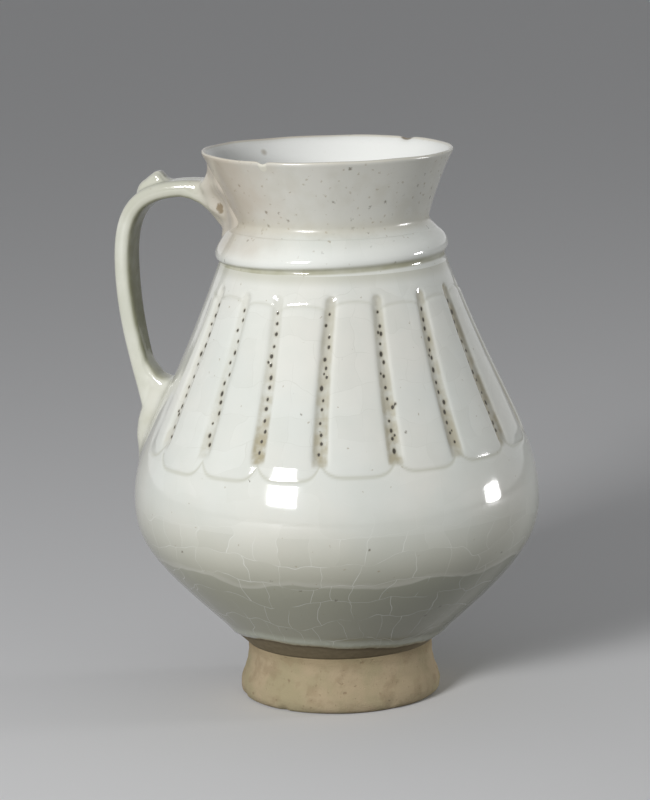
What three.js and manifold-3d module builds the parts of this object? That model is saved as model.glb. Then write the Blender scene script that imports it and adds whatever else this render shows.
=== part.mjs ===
// Tankard: a one-handled jug of pierced and carved white fritware.
// Millimetres, +Z up, the handle towards -X, the origin under the middle of the bounding box.
// Every piece is thrown, cut or rolled by itself and luted to the next one.

import * as THREE from 'three';
import { mergeVertices } from 'three/addons/utils/BufferGeometryUtils.js';
import Module from 'manifold-3d';

// Driving dimensions: heights of the stacked pieces
const footHeight = 18;
const lowerBodyHeight = 48;
const shoulderHeight = 77.6;
const collarHeight = 11;
const neckHeight = 25.4;

// Driving dimensions: outer radii
const footRadius = 32.6;
const footWaistRadius = 29.9;
const footRestRadius = 30.6;
const bodyStartRadius = 30.4;
const bellyRadius = 66.3;
const shoulderTopRadius = 36.4;
const collarRadius = 36.9;
const collarGrooveDepth = 0.9;
const collarSoftEdge = 2.5;
const neckWaistRadius = 31.5;
const neckSeatFlare = 2;
const rimRadius = 40.6;

// Driving dimensions: how full the curves are, as shares of each piece's own run and rise
const bowlStartRun = 0.82;
const bowlStartRise = 0.56;
const bowlEndRise = 0.29;
const shoulderStartRise = 0.25;
const shoulderEndRun = 0.6;
const shoulderEndRise = 0.4;
const toeRise = 0.22;
const toeBulge = 0.4;
const toeTop = 0.45;
const footWaistStart = 0.65;
const footWaistEnd = 0.85;
const neckWaistRise = 0.12;
const neckFlareStart = 0.17;
const neckFlareEnd = 0.66;
const neckFlareSlope = 0.46;
const lipFall = 0.4;
const lipOuterShare = 0.25;
const lipInnerShare = 0.75;
const collarGrooveRise = 0.2;
const collarBulgeRise = 0.42;
const collarBulgeTop = 0.58;
const collarEdgeRise = 0.82;

// Driving dimensions: walls, floor and foot recess
const bodyWall = 4.6;
const shoulderWall = 4.2;
const collarBulgeWall = 6;
const neckWall = 3.6;
const rimWall = 2.8;
const floorThickness = 5;
const floorCornerSlope = 1.6;
const floorClear = 1;
const recessRadius = 21.5;
const recessFlare = 1.8;
const recessCorner = 1.5;
const recessDepth = 11;

// Driving dimensions: carved grooves and the holes pierced along them
const grooveSteps = 17;
const grooveCount = 14;
const patternFacetsOffHandle = 0.5;
const grooveBottomAboveBelly = 22;
const grooveTopBelowCollar = 7.6;
const grooveWidthBottom = 4.4;
const grooveWidthTop = 3.3;
const grooveDepth = 1.3;
const grooveRunout = 4;
const grooveEndLift = 0.2;
const cutterReach = 6;
const holesPerGroove = 14;
const holeDiameter = 1.2;
const holeMargin = 3.6;

// Driving dimensions: strap handle
const strapWidth = 13;
const strapEndWidth = 9.5;
const strapThickness = 5.4;
const strapCornerRadius = 2;
const handleOverhang = 7.3;
const handleRootBelowRim = 14.8;
const handleArchLength = 32;
const handleArchRise = 2.8;
const handleShoulderDrop = 1.2;
const handleOutermostAboveBelly = 75;
const strapEndAboveBelly = 28;
const strapDropStart = 0.45;
const strapDropEnd = 0.26;
const strapEndLean = 2.8;

// Driving dimensions: thumb rest and the luting clay at both ends of the strap
const thumbRestLength = 13;
const thumbRestHeight = 3.4;
const thumbRestWidth = 8.5;
const thumbRestPlace = 0.47;
const clayEdgeSoftness = 1;
const upperLutingWidth = 48;
const upperLutingHeight = 20;
const upperLutingReach = 6.8;
const upperLutingSag = 4.2;
const upperLutingWrap = 0.58;
const lowerLutingThickness = 1.9;
const lowerLutingTopAboveStrapEnd = 9.5;
const lowerLutingTailLength = 18.5;
const lowerLutingTailWidth = 8;
const lowerLutingTailProud = 1.3;
const lowerLutingBulge = 0.7;

// Gap of the luted joints that follow a curved surface
const lutingClearance = 0.3;

// Facets: each groove lies in the middle of a facet of the turned wall
const facetsPerGrooveStep = 4;
const turnedFacets = grooveSteps * facetsPerGrooveStep;
const curvePoints = 10;
const toePoints = 4;
const waistPoints = 4;
const flarePoints = 6;
const groovePoints = 3;
const holeSides = 4;
const strapSteps = 22;
const cornerSegments = 2;

// Heights of the joints, from the foot up
const bodyStartZ = footHeight;
const bellyZ = bodyStartZ + lowerBodyHeight;
const collarStartZ = bellyZ + shoulderHeight;
const neckStartZ = collarStartZ + collarHeight;
const rimZ = neckStartZ + neckHeight;

const neckStartRadius = neckWaistRadius + neckSeatFlare;
const lipDrop = rimWall * lipFall;
const tau = 2 * Math.PI;

// Outlines are lists of (radius, height)
function point(radius, height) {
  return new THREE.Vector2(radius, height);
}

function bow(start, startPull, endPull, end, divisions = curvePoints) {
  return new THREE.CubicBezierCurve(start, startPull, endPull, end).getPoints(divisions);
}

// The foot's outer face: a rounded toe, a hollow waist and a small flare to the body
function footOutline() {
  const toe = bow(
    point(footRestRadius, 0),
    point(footRadius, toeBulge),
    point(footRadius + toeBulge, footHeight * toeRise),
    point((footRadius + footWaistRadius) / 2, footHeight * toeTop),
    toePoints,
  );
  const waist = bow(
    toe.at(-1),
    point(footWaistRadius, footHeight * footWaistStart),
    point(footWaistRadius, footHeight * footWaistEnd),
    point(bodyStartRadius, footHeight),
    waistPoints,
  );
  return toe.concat(waist.slice(1));
}

function lowerBodyOutline() {
  const run = bellyRadius - bodyStartRadius;
  return bow(
    point(bodyStartRadius, bodyStartZ),
    point(bodyStartRadius + run * bowlStartRun, bodyStartZ + lowerBodyHeight * bowlStartRise),
    point(bellyRadius, bellyZ - lowerBodyHeight * bowlEndRise),
    point(bellyRadius, bellyZ),
  );
}

function shoulderOutline() {
  const run = bellyRadius - shoulderTopRadius;
  return bow(
    point(bellyRadius, bellyZ),
    point(bellyRadius, bellyZ + shoulderHeight * shoulderStartRise),
    point(shoulderTopRadius + run * shoulderEndRun, bellyZ + shoulderHeight * shoulderEndRise),
    point(shoulderTopRadius, collarStartZ),
  );
}

// The collar is a bulging ring over a shallow groove
function collarOutline() {
  return [
    point(shoulderTopRadius, collarStartZ),
    point(collarRadius - collarGrooveDepth, collarStartZ + collarHeight * collarGrooveRise),
    point(collarRadius, collarStartZ + collarHeight * collarBulgeRise),
    point(collarRadius, collarStartZ + collarHeight * collarBulgeTop),
    point(collarRadius - collarSoftEdge, collarStartZ + collarHeight * collarEdgeRise),
    point(neckStartRadius, neckStartZ),
  ];
}

function neckOutline() {
  const flareHeight = neckHeight * (1 - neckFlareEnd);
  const flare = bow(
    point(neckWaistRadius, neckStartZ + neckHeight * neckWaistRise),
    point(neckWaistRadius, neckStartZ + neckHeight * neckFlareStart),
    point(rimRadius - flareHeight * neckFlareSlope, rimZ - flareHeight),
    point(rimRadius, rimZ - lipDrop),
    flarePoints,
  );
  return [point(neckStartRadius, neckStartZ), ...flare];
}

// The vessel's whole outer face, from the resting face to the rim
function vesselOutline() {
  return [
    ...footOutline(),
    ...lowerBodyOutline().slice(1),
    ...shoulderOutline().slice(1),
    ...collarOutline().slice(1),
    ...neckOutline().slice(1),
  ];
}

function vesselRadiusAt(height) {
  const outline = vesselOutline();
  const above = outline.findIndex((p) => p.y >= height);
  const low = outline[above - 1];
  const high = outline[above];
  return low.x + ((height - low.y) / (high.y - low.y)) * (high.x - low.x);
}

// The inner face runs a wall's thickness inside the outer one, measured square to the wall
function inset(outline, wall) {
  return outline.map((p, i) => {
    const before = outline[Math.max(i - 1, 0)];
    const after = outline[Math.min(i + 1, outline.length - 1)];
    const slope = (after.x - before.x) / (after.y - before.y);
    return point(p.x - wall * Math.hypot(1, slope), p.y);
  });
}

// The inner face needs half the points, but keeps both of its ends
function everySecond(outline) {
  return outline.filter((p, i) => i % 2 === 0 || i === outline.length - 1);
}

// Turned pieces: the outline goes round the Z axis
function turn(outline) {
  return new THREE.LatheGeometry(outline, turnedFacets).rotateX(Math.PI / 2);
}

// Pieces drawn in the handle's plane, as (distance from the axis, height), and cut out of a slab
function slab(outline, width, softEdge = 0) {
  const shape = new THREE.Shape(outline);
  const geometry = new THREE.ExtrudeGeometry(shape, {
    depth: width - 2 * softEdge,
    bevelEnabled: softEdge > 0,
    bevelThickness: softEdge,
    bevelSize: softEdge,
    bevelOffset: -softEdge,
    bevelSegments: 2,
  });
  return geometry.rotateX(Math.PI / 2).translate(0, width / 2 - softEdge, 0);
}

// Narrows a slab from its bottom width to its top width
function taper(geometry, bottomZ, topZ, bottomShare, topShare) {
  const position = geometry.getAttribute('position');
  for (let i = 0; i < position.count; i += 1) {
    const share = THREE.MathUtils.clamp((position.getZ(i) - bottomZ) / (topZ - bottomZ), 0, 1);
    position.setY(i, position.getY(i) * THREE.MathUtils.lerp(bottomShare, topShare, share));
  }
  return geometry;
}

// Joins and cuts
const wasm = await Module();
wasm.setup();

function weld(geometry) {
  const bare = geometry.clone();
  bare.deleteAttribute('normal');
  bare.deleteAttribute('uv');
  const merged = mergeVertices(bare, 1e-4);
  const corners = merged.getIndex().array;
  const kept = [];
  for (let i = 0; i < corners.length; i += 3) {
    const [a, b, c] = corners.subarray(i, i + 3);
    if (a !== b && b !== c && c !== a) {
      kept.push(a, b, c);
    }
  }
  merged.setIndex(kept);
  return merged;
}

function toSolid(geometry) {
  const merged = weld(geometry);
  return new wasm.Manifold(
    new wasm.Mesh({
      numProp: 3,
      vertProperties: new Float32Array(merged.getAttribute('position').array),
      triVerts: new Uint32Array(merged.getIndex().array),
    }),
  );
}

function toGeometry(solid) {
  const mesh = solid.getMesh();
  const geometry = new THREE.BufferGeometry();
  geometry.setAttribute('position', new THREE.BufferAttribute(mesh.vertProperties, 3));
  geometry.setIndex(new THREE.BufferAttribute(mesh.triVerts, 1));
  return geometry;
}

function joinAll(solids) {
  return solids.reduce((whole, solid) => whole.add(solid));
}

// The vessel as a full body, grown by the clearance, that trims what is luted to it
function vesselTrimmer() {
  const grown = vesselOutline().map((p) => point(p.x + lutingClearance, p.y));
  const outline = [point(0, 0), ...grown, point(0, rimZ)];
  return toSolid(turn(outline));
}

// Foot: a turned disc with a resting ring and a hollow underneath
function footRing() {
  const outline = [
    point(0, recessDepth),
    point(recessRadius - recessCorner, recessDepth),
    point(recessRadius, recessDepth - recessCorner),
    point(recessRadius + recessFlare, 0),
    ...footOutline(),
    point(0, footHeight),
  ];
  return turn(outline);
}

// Lower body: a thrown bowl, closed by the vessel's floor
function lowerBody() {
  const outer = lowerBodyOutline();
  const floorZ = bodyStartZ + floorThickness;
  const inner = everySecond(inset(outer, bodyWall)).filter((p) => p.y > floorZ + floorClear);
  const floorRadius = inner[0].x - (inner[0].y - floorZ) * floorCornerSlope;
  const outline = [
    point(0, bodyStartZ),
    ...outer,
    ...inner.reverse(),
    point(floorRadius, floorZ),
    point(0, floorZ),
  ];
  return turn(outline);
}

// Upper body: a thrown shoulder, carved with grooves that are pierced along their floors
function upperBody() {
  const outer = shoulderOutline();
  const inner = everySecond(inset(outer, shoulderWall));
  const outline = [...outer, ...inner.reverse(), outer[0]];
  const wall = toSolid(turn(outline));
  const cutters = [];
  for (let k = 0; k < grooveCount; k += 1) {
    const angle = grooveAngle(k);
    cutters.push(toSolid(grooveCutter().rotateZ(angle)));
    for (const hole of holeCutters()) {
      cutters.push(toSolid(hole.rotateZ(angle)));
    }
  }
  return toGeometry(wall.subtract(joinAll(cutters)));
}

// Grooves stand in even steps round the pot; the steps left out make a plain bay at the handle
function grooveAngle(k) {
  const bayFacets = (grooveSteps - grooveCount + 1) * facetsPerGrooveStep;
  const firstFacet = bayFacets / 2 - patternFacetsOffHandle;
  return Math.PI + (tau / turnedFacets) * (firstFacet + k * facetsPerGrooveStep);
}

const grooveBottomZ = bellyZ + grooveBottomAboveBelly;
const grooveTopZ = collarStartZ - grooveTopBelowCollar;

// The floor of a groove follows the wall and runs out to its face at both ends
function grooveFloor() {
  const facetFace = Math.cos(tau / turnedFacets / 2);
  const heights = [grooveBottomZ, grooveBottomZ + grooveRunout];
  for (let i = 1; i < groovePoints; i += 1) {
    heights.push(THREE.MathUtils.lerp(heights[1], grooveTopZ - grooveRunout, i / groovePoints));
  }
  heights.push(grooveTopZ - grooveRunout, grooveTopZ);
  return heights.map((height, i) => {
    const atEnd = i === 0 || i === heights.length - 1;
    const depth = atEnd ? -grooveEndLift : grooveDepth;
    return point(vesselRadiusAt(height) * facetFace - depth, height);
  });
}

function grooveCutter() {
  const floor = grooveFloor();
  const outside = [floor.at(-1), floor.at(0)].map((p) => point(p.x + cutterReach, p.y));
  const geometry = slab([...floor, ...outside], grooveWidthBottom);
  return taper(geometry, grooveBottomZ, grooveTopZ, 1, grooveWidthTop / grooveWidthBottom);
}

// Holes stand square to the wall, evenly along the groove
function holeCutters() {
  const firstZ = grooveBottomZ + holeMargin;
  const lastZ = grooveTopZ - holeMargin;
  const holes = [];
  for (let i = 0; i < holesPerGroove; i += 1) {
    const height = THREE.MathUtils.lerp(firstZ, lastZ, i / (holesPerGroove - 1));
    const narrowing = vesselRadiusAt(height - 1) - vesselRadiusAt(height + 1);
    const tilt = Math.atan2(narrowing, 2);
    const radius = holeDiameter / 2;
    const hole = new THREE.CylinderGeometry(radius, radius, shoulderWall * 4, holeSides);
    hole.rotateZ(-Math.PI / 2).rotateY(-tilt);
    holes.push(hole.translate(vesselRadiusAt(height), 0, height));
  }
  return holes;
}

// Collar: a ring luted between shoulder and neck
function collarRing() {
  const outer = collarOutline();
  const shoulderInside = inset(shoulderOutline(), shoulderWall).at(-1).x;
  const neckInside = neckStartRadius - neckWall;
  const middle = point(collarRadius - collarBulgeWall, collarStartZ + collarHeight * collarBulgeRise);
  const inner = [point(neckInside, neckStartZ), middle, point(shoulderInside, collarStartZ)];
  return turn([...outer, ...inner, outer[0]]);
}

// Neck: thrown thinner towards a rounded rim
function neck() {
  const outer = neckOutline();
  const lip = [
    point(rimRadius - rimWall * lipOuterShare, rimZ),
    point(rimRadius - rimWall * lipInnerShare, rimZ),
    point(rimRadius - rimWall, rimZ - lipDrop),
  ];
  const flare = outer.slice(1, -1).filter((p, i) => i % 2 === 0).reverse();
  const inner = flare.map((p) => {
    const share = (p.y - neckStartZ) / neckHeight;
    return point(p.x - THREE.MathUtils.lerp(neckWall, rimWall, share), p.y);
  });
  const start = point(neckStartRadius - neckWall, neckStartZ);
  return turn([...outer, ...lip, ...inner, start, outer[0]]);
}

// The strap's centre line leaves the neck level, turns down and comes back to the shoulder
const strapReach = bellyRadius + handleOverhang - strapThickness / 2;
const strapRootZ = rimZ - handleRootBelowRim;
const strapOutermostZ = bellyZ + handleOutermostAboveBelly;
const strapEndZ = bellyZ + strapEndAboveBelly;
const strapEndReach = vesselRadiusAt(strapEndZ) + lowerLutingThickness + strapThickness / 2;

function inPlane(reach, height) {
  return new THREE.Vector3(reach, 0, height);
}

function strapArch() {
  const rootReach = vesselRadiusAt(strapRootZ) - neckWall;
  return new THREE.CubicBezierCurve3(
    inPlane(rootReach, strapRootZ),
    inPlane(rootReach + handleArchLength, strapRootZ + handleArchRise),
    inPlane(strapReach, strapRootZ - handleShoulderDrop),
    inPlane(strapReach, strapOutermostZ),
  );
}

function strapDrop() {
  const fall = strapOutermostZ - strapEndZ;
  return new THREE.CubicBezierCurve3(
    inPlane(strapReach, strapOutermostZ),
    inPlane(strapReach, strapOutermostZ - fall * strapDropStart),
    inPlane(strapEndReach + strapEndLean, strapEndZ + fall * strapDropEnd),
    inPlane(strapEndReach, strapEndZ),
  );
}

// The strap's section, a rounded bar, with room around it when it trims its neighbours
function strapSection(room) {
  const halfWidth = strapWidth / 2 + room;
  const halfThickness = strapThickness / 2 + room;
  const corner = strapCornerRadius;
  const shape = new THREE.Shape();
  shape.absarc(halfWidth - corner, halfThickness - corner, corner, 0, Math.PI / 2);
  shape.absarc(corner - halfWidth, halfThickness - corner, corner, Math.PI / 2, Math.PI);
  shape.absarc(corner - halfWidth, corner - halfThickness, corner, Math.PI, Math.PI * 1.5);
  shape.absarc(halfWidth - corner, corner - halfThickness, corner, Math.PI * 1.5, tau);
  shape.closePath();
  return shape;
}

// The strap grows narrower on its way down from its outermost point
function strap(room) {
  const drop = strapDrop();
  const path = new THREE.CurvePath();
  path.add(strapArch());
  path.add(drop);
  if (room > 0) {
    const beyond = drop.getPoint(1).addScaledVector(drop.getTangent(1), room);
    path.add(new THREE.LineCurve3(drop.getPoint(1), beyond));
  }
  const bar = new THREE.ExtrudeGeometry(strapSection(room), {
    extrudePath: path,
    steps: strapSteps,
    curveSegments: cornerSegments,
    bevelEnabled: false,
  });
  return taper(bar, strapEndZ, strapOutermostZ, strapEndWidth / strapWidth, 1);
}

function handleStrap() {
  return toSolid(strap(0)).subtract(vesselTrimmer());
}

// Thumb rest: a wedge-shaped pellet that rises towards the neck and drops off sharply
function thumbRest() {
  const seat = strapArch().getPoint(thumbRestPlace);
  const along = strapArch().getTangent(thumbRestPlace);
  const slope = Math.atan2(along.z, along.x);
  const base = strapThickness / 2;
  const half = thumbRestLength / 2;
  const outline = [
    point(-half, 0),
    point(half, -base),
    point(half, base),
    point(half * 0.2, base + thumbRestHeight * 0.75),
    point(-half * 0.45, base + thumbRestHeight),
    point(-half * 0.7, base + thumbRestHeight * 0.8),
    point(-half, base),
  ];
  const pellet = slab(outline, thumbRestWidth, clayEdgeSoftness).rotateY(-slope).translate(seat.x, 0, seat.z);
  return toSolid(pellet).subtract(toSolid(strap(lutingClearance)));
}

// Upper luting: clay smeared over the neck on both sides of the strap and under it
function upperLuting() {
  const lumpZ = strapRootZ - upperLutingSag;
  const neckRadius = vesselRadiusAt(strapRootZ);
  const depth = neckRadius * upperLutingWrap;
  const lump = new THREE.SphereGeometry(1, 18, 12).rotateX(Math.PI / 2);
  lump.scale(depth, upperLutingWidth / 2, upperLutingHeight / 2);
  lump.translate(neckRadius + upperLutingReach - depth, 0, lumpZ);
  return toSolid(lump).subtract(vesselTrimmer()).subtract(toSolid(strap(lutingClearance)));
}

// Lower luting: clay that fills the wedge behind the strap's end and tails off over the belly
function lowerLuting() {
  const tailZ = strapEndZ - lowerLutingTailLength;
  const topZ = strapEndZ + lowerLutingTopAboveStrapEnd;
  const face = strapEndReach + strapThickness / 2;
  const tailReach = vesselRadiusAt(tailZ) + lowerLutingTailProud;
  const outline = [
    point(vesselRadiusAt(tailZ) - bodyWall, tailZ),
    point(tailReach, tailZ),
    point(face + lowerLutingBulge, strapEndZ - lowerLutingTailLength / 2),
    point(face, strapEndZ - lutingClearance),
    point(strapEndReach, strapEndZ + lutingClearance),
    point(strapEndReach, topZ),
    point(vesselRadiusAt(topZ) - shoulderWall, topZ),
  ];
  const wedge = slab(outline, strapWidth, clayEdgeSoftness);
  taper(wedge, tailZ, strapEndZ, lowerLutingTailWidth / strapWidth, 1);
  return toSolid(wedge).subtract(vesselTrimmer()).subtract(toSolid(strap(lutingClearance)));
}

// Clay and glaze
function glazed(color, roughness = 0.2) {
  return new THREE.MeshStandardMaterial({ color, roughness, metalness: 0 });
}

function bareClay(color) {
  return new THREE.MeshStandardMaterial({ color, roughness: 0.9, metalness: 0 });
}

function piece(name, geometry, material) {
  const mesh = new THREE.Mesh(geometry, material);
  mesh.name = name;
  return mesh;
}

// The handle and its clay are drawn towards +X and turned half round to -X
function handlePiece(name, solid, material) {
  const mesh = piece(name, toGeometry(solid), material);
  mesh.rotation.z = Math.PI;
  return mesh;
}

const tankard = new THREE.Group();
tankard.add(
  piece('foot_ring', weld(footRing()), bareClay(0xa98a68)),
  piece('lower_body', weld(lowerBody()), glazed(0xd9d9cc)),
  piece('upper_body', upperBody(), glazed(0xe0e1d8)),
  piece('collar_ring', weld(collarRing()), glazed(0xdfe0d6)),
  piece('neck', weld(neck()), glazed(0xcdc9be, 0.3)),
  handlePiece('handle_strap', handleStrap(), glazed(0xdfe0d4)),
  handlePiece('thumb_rest', thumbRest(), glazed(0xe2e2d8)),
  handlePiece('upper_luting', upperLuting(), glazed(0xc2b5a3, 0.35)),
  handlePiece('lower_luting', lowerLuting(), glazed(0xdbdbd0)),
);

// The origin lies under the middle of the bounding box
tankard.updateMatrixWorld(true);
const box = new THREE.Box3().setFromObject(tankard);
tankard.position.x = -(box.min.x + box.max.x) / 2;

export default tankard;
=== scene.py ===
import math

import bpy
import numpy as np
from mathutils import Matrix, Vector
from mathutils.geometry import interpolate_bezier


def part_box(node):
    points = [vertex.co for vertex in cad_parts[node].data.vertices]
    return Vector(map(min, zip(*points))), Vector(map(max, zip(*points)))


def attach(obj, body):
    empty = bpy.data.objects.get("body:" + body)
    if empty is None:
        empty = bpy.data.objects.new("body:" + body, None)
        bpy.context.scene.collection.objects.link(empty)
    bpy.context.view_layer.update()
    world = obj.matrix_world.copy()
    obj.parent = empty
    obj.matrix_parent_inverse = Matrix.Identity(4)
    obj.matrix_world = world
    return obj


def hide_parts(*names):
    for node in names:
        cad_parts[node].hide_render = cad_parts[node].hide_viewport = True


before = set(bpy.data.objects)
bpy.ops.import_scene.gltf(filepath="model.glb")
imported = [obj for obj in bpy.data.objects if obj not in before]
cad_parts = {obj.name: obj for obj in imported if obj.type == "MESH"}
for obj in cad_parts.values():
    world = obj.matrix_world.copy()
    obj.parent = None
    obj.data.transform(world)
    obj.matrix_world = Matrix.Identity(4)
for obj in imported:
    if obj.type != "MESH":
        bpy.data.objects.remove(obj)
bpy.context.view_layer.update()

# The view
# A long lens stands a metre from the pot, a little above its rim, and to the left it has the
# handle almost in profile.
mm = 0.001
foot_low, foot_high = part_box("foot_ring")
pot_x = (foot_low.x + foot_high.x) / 2

camera_distance = 1.0621
camera_height = 0.2976
camera_side = math.radians(16.5)
camera_aim = math.radians(16.682)
camera_dip = math.radians(10.678)
camera_roll = math.radians(-1.072)

bpy.ops.object.select_all(action="DESELECT")
bpy.ops.object.camera_add()
camera = bpy.context.object
camera.data.lens = 149.04
camera.data.sensor_width = 36
camera.data.clip_end = 50
camera.location = (
    pot_x + camera_distance * math.sin(camera_side),
    -camera_distance * math.cos(camera_side),
    camera_height,
)
camera.rotation_euler = (
    Matrix.Rotation(camera_aim, 3, "Z")
    @ Matrix.Rotation(math.pi / 2 - camera_dip, 3, "X")
    @ Matrix.Rotation(camera_roll, 3, "Z")
).to_euler()
bpy.context.scene.camera = camera
bpy.context.scene.view_settings.view_transform = "Standard"


# The studio: a pale floor, a pale room and two softboxes
# The large one stands to the left of the camera and makes the window-like highlight on the
# belly. The small one stands far to the right and edges the other flank.
def add(tree, kind, inputs=None, **settings):
    """Adds a node. Inputs are sockets to link or values to set, and settings are properties."""
    node = tree.nodes.new("ShaderNode" + kind)
    for name, value in settings.items():
        setattr(node, name, value)
    for name, value in (inputs or {}).items():
        if isinstance(value, bpy.types.NodeSocket):
            tree.links.new(value, node.inputs[name])
        else:
            node.inputs[name].default_value = value
    return node


def softbox(name, azimuth, elevation, distance, width, height, power):
    """A square lamp that looks at the pot's middle. Azimuth 0 is in front, along -Y."""
    around, up = math.radians(azimuth), math.radians(elevation)
    back = Vector((
        math.sin(around) * math.cos(up),
        -math.cos(around) * math.cos(up),
        math.sin(up),
    ))
    bpy.ops.object.light_add(type="AREA")
    lamp = bpy.context.object
    lamp.name = name
    lamp.data.shape = "RECTANGLE"
    lamp.data.size = width
    lamp.data.size_y = height
    lamp.data.energy = power
    lamp.location = Vector((pot_x, 0, 0.1)) + back * distance
    lamp.rotation_euler = back.to_track_quat("Z", "Y").to_euler()


softbox("key_softbox", azimuth=-15, elevation=17, distance=1.3, width=0.34, height=0.31, power=14.4)
softbox("side_softbox", azimuth=112, elevation=1, distance=1.2, width=0.22, height=0.2, power=4.9)


def seen(tree):
    """1 for the camera and for mirror images, and 0 for the light that reaches the pot."""
    rays = add(tree, "LightPath").outputs
    either = {0: rays["Is Camera Ray"], 1: rays["Is Glossy Ray"]}
    return add(tree, "Math", either, operation="MAXIMUM").outputs[0]


world = bpy.data.worlds.new("room")
world.use_nodes = True
bpy.context.scene.world = world
room_tree = world.node_tree
room = room_tree.nodes["Background"]
room_light = add(room_tree, "MapRange", {"Value": seen(room_tree), "To Min": 0.18, "To Max": 0.7})
room.inputs["Color"].default_value = (0.98, 0.99, 1, 1)
room_tree.links.new(room_light.outputs[0], room.inputs["Strength"])

bpy.ops.mesh.primitive_circle_add(vertices=96, radius=12, fill_type="NGON")
floor = bpy.context.object
floor.name = "floor"
paper = bpy.data.materials.new("floor_paper")
paper.use_nodes = True
paper_tree = paper.node_tree
paper_to_pot = (0.11, 0.11, 0.115, 1)
paper_to_camera = (0.8, 0.8, 0.81, 1)
paper_tones = {"Factor": seen(paper_tree), "A": paper_to_pot, "B": paper_to_camera}
paper_tone = add(paper_tree, "Mix", paper_tones, data_type="RGBA")
paper_shader = paper_tree.nodes["Principled BSDF"]
paper_shader.inputs["Roughness"].default_value = 0.9
paper_tree.links.new(paper_tone.outputs["Result"], paper_shader.inputs["Base Color"])
floor.data.materials.append(paper)


# Foot
# A thick turned disc of the same white fritware, hollowed underneath and left bare of glaze.
# The fired clay is buff, pitted and chipped along the edge that the pot stands on.
def bow(start, start_pull, end_pull, end, points):
    """Points along a curve between two (radius, height) ends."""
    corners = [(radius, height, 0) for radius, height in (start, start_pull, end_pull, end)]
    return [(p.x, p.y) for p in interpolate_bezier(*corners, points)]


merge_distance = 0.005 * mm


def face_outward():
    """Points the faces of the mesh that is being edited outward, and leaves edit mode."""
    bpy.ops.mesh.select_all(action="SELECT")
    bpy.ops.mesh.normals_make_consistent(inside=False)
    bpy.ops.object.mode_set(mode="OBJECT")


def spun(name, outline, columns):
    """Lays a closed outline of (radius, height) in mm beside the axis and spins it round."""
    bpy.ops.object.select_all(action="DESELECT")
    bpy.ops.mesh.primitive_circle_add(vertices=len(outline))
    piece = bpy.context.object
    piece.name = piece.data.name = name
    for vertex, (radius, height) in zip(piece.data.vertices, outline):
        vertex.co = (pot_x + radius * mm, 0, height * mm)
    bpy.ops.object.mode_set(mode="EDIT")
    bpy.ops.mesh.select_all(action="SELECT")
    bpy.ops.mesh.spin(steps=columns, angle=math.tau, center=(pot_x, 0, 0), axis=(0, 0, 1))
    bpy.ops.mesh.select_all(action="SELECT")
    bpy.ops.mesh.remove_doubles(threshold=merge_distance)
    bpy.ops.mesh.delete_loose()
    face_outward()
    return piece


def read_round(piece):
    """Angle about the pot's axis, radius and height in mm of every vertex."""
    place = np.empty(len(piece.data.vertices) * 3)
    piece.data.vertices.foreach_get("co", place)
    x, y, height = place.reshape(-1, 3).T / mm
    x = x - pot_x / mm
    return np.arctan2(y, x), np.hypot(x, y), height


def write_round(piece, angle, radius, height):
    """Moves every vertex to its new angle, radius and height."""
    x = pot_x / mm + radius * np.cos(angle)
    place = np.column_stack([x, radius * np.sin(angle), height]) * mm
    piece.data.vertices.foreach_set("co", place.ravel())
    piece.data.update()


def finish_smooth(piece, material, slot, *nodes):
    """Shades a piece smooth, glazes it and puts it in the place of its CAD nodes."""
    bpy.ops.object.select_all(action="DESELECT")
    piece.select_set(True)
    bpy.context.view_layer.objects.active = piece
    bpy.ops.object.shade_smooth_by_angle(angle=math.radians(50))
    piece.data.materials.append(material)
    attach(piece, "root")
    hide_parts(*nodes)


def smooth_step(low, high, value):
    """0 below low, 1 above high and smooth between."""
    share = np.clip((value - low) / (high - low), 0, 1)
    return share * share * (3 - 2 * share)


def hand_thrown(angle, height):
    """How far the thrown wall strays from a true circle, in mm. The neck leans to the handle."""
    slow = 0.16 * np.sin(2 * angle + height / 31) + 0.1 * np.sin(3 * angle - height / 19 + 1)
    quick = 0.05 * np.sin(5 * angle + height / 8)
    sway = 0.5 * np.exp(-(((height - 33) / 15) ** 2)) - smooth_step(150, 181, height)
    return slow + quick - 0.13 + sway * np.cos(angle - camera_side)


def new_group(name, inputs, outputs):
    """An empty node group. Inputs are (socket type, name, default), outputs (type, name)."""
    group = bpy.data.node_groups.new(name, "ShaderNodeTree")
    for kind, label, default in inputs:
        socket = group.interface.new_socket(label, in_out="INPUT", socket_type="NodeSocket" + kind)
        if default is not None:
            socket.default_value = default
    for kind, label in outputs:
        group.interface.new_socket(label, in_out="OUTPUT", socket_type="NodeSocket" + kind)
    group_inputs = group.nodes.new("NodeGroupInput").outputs
    group_outputs = group.nodes.new("NodeGroupOutput").inputs
    return group, group_inputs, group_outputs


def use(tree, group, inputs):
    """Places a node group with its own values."""
    return add(tree, "Group", inputs, node_tree=group).outputs


def plus(tree, first, second):
    return add(tree, "Math", {0: first, 1: second}, operation="ADD").outputs[0]


def minus(tree, first, second):
    return add(tree, "Math", {0: first, 1: second}, operation="SUBTRACT").outputs[0]


def times(tree, first, second):
    return add(tree, "Math", {0: first, 1: second}, operation="MULTIPLY").outputs[0]


def times_plus(tree, first, second, extra):
    """First times second, plus the extra."""
    return add(tree, "Math", {0: first, 1: second, 2: extra}, operation="MULTIPLY_ADD").outputs[0]


def divided(tree, first, second):
    return add(tree, "Math", {0: first, 1: second}, operation="DIVIDE").outputs[0]


def noise(tree, place, scale, detail):
    return add(tree, "TexNoise", {"Vector": place, "Scale": scale, "Detail": detail}).outputs[0]


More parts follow.
